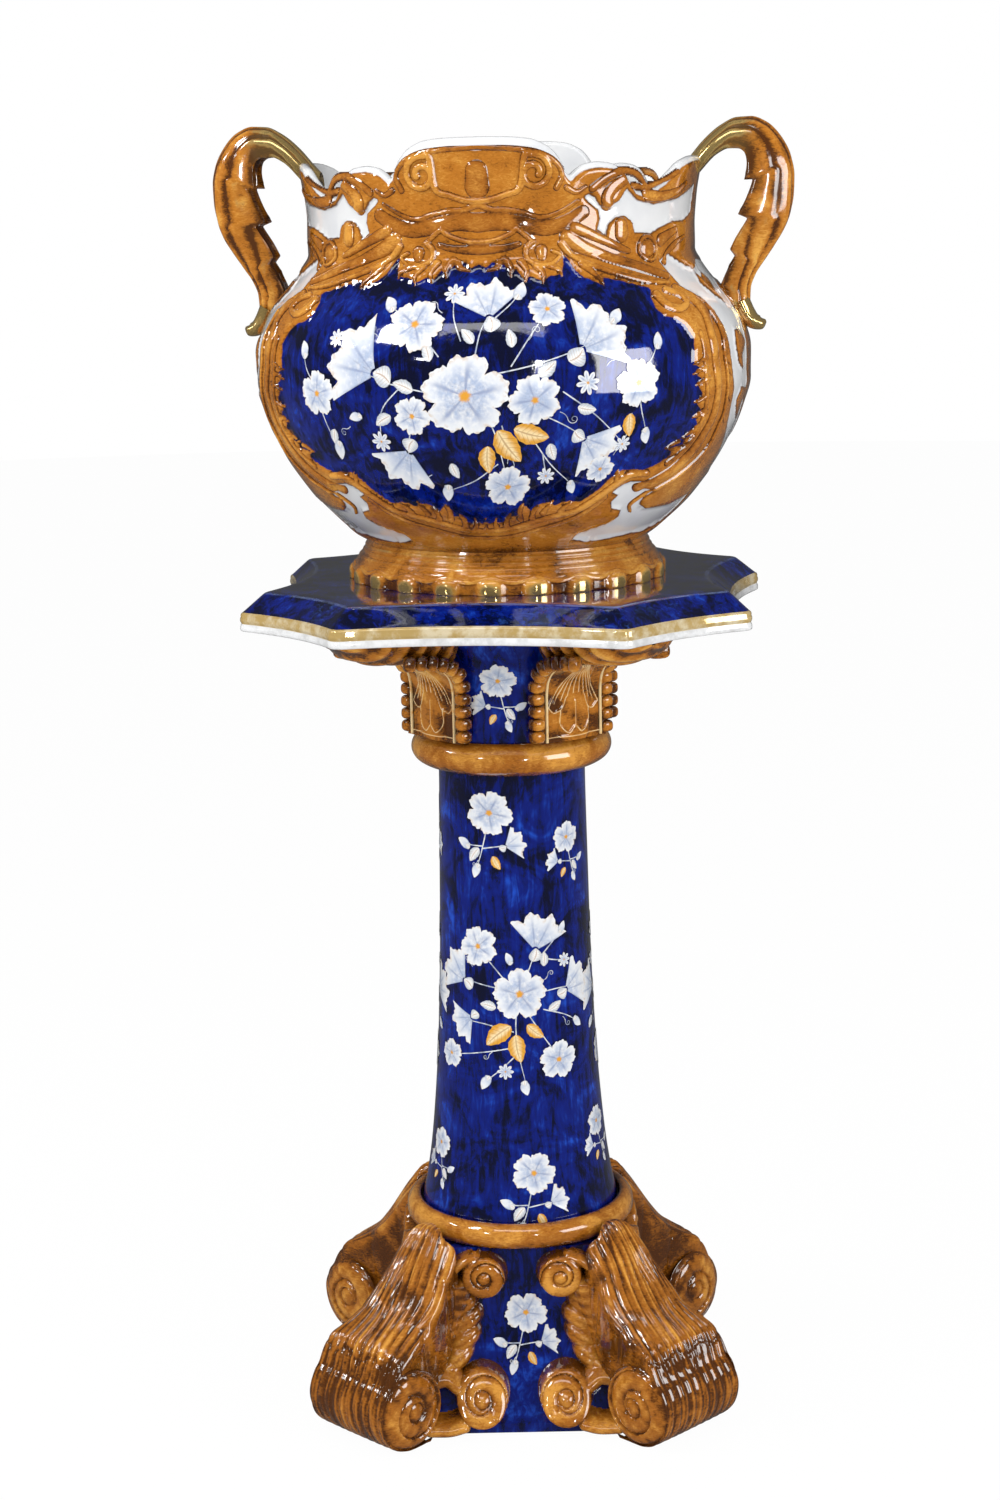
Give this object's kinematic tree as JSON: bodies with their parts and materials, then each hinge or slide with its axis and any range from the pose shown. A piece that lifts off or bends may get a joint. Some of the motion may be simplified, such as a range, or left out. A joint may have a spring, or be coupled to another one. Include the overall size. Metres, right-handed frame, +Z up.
{
  "type": "jardiniere on stand",
  "caption": "Glazed ceramic planter bowl with lobed rim and two leaf handles, resting on a matching column stand with scroll legs and an octagonal slab.",
  "frame": {"origin": "on the floor under the middle of the column", "axes": "+Z up the column, -Y towards the front, +X towards the right-hand handle"},
  "size_m": [0.4868, 0.4242, 1.1],
  "materials": {
    "cobalt_glaze": "glossy mottled deep blue lead glaze",
    "amber_glaze": "glossy streaked amber brown glaze, paler on the high edges",
    "painted_glaze": "glossy, blue flowered panels in amber and white relief",
    "gilt_glaze": "glossy olive brown glaze with worn gilding on the high edges"
  },
  "bodies": {
    "stand_foot": {"foot_plinth": "cobalt_glaze", "foot_collar": "amber_glaze", "scroll_leg_front_right": "amber_glaze", "scroll_leg_rear_right": "amber_glaze", "scroll_leg_rear_left": "amber_glaze", "scroll_leg_front_left": "amber_glaze", "panel_scrolls_front": "amber_glaze", "panel_scrolls_right": "amber_glaze", "panel_scrolls_rear": "amber_glaze", "panel_scrolls_left": "amber_glaze"},
    "column": {"column_shaft": "cobalt_glaze"},
    "capital": {"capital_ring": "amber_glaze", "capital_drum": "cobalt_glaze", "bracket_front_right": "amber_glaze", "bracket_rear_right": "amber_glaze", "bracket_rear_left": "amber_glaze", "bracket_front_left": "amber_glaze", "top_slab": "cobalt_glaze"},
    "jardiniere": {"jardiniere_foot": "amber_glaze", "jardiniere_bowl": "painted_glaze", "handle_left": "gilt_glaze", "handle_right": "gilt_glaze"}
  },
  "joints": [
    {"name": "column_lift", "type": "slide", "parent": "stand_foot", "child": "column", "axis": [0, 0, 1], "range_m": [0, 0.1]},
    {"name": "capital_lift", "type": "slide", "parent": "column", "child": "capital", "axis": [0, 0, 1], "range_m": [0, 0.08]},
    {"name": "jardiniere_lift", "type": "slide", "parent": "capital", "child": "jardiniere", "axis": [0, 0, 1], "range_m": [0, 0.15]}
  ]
}
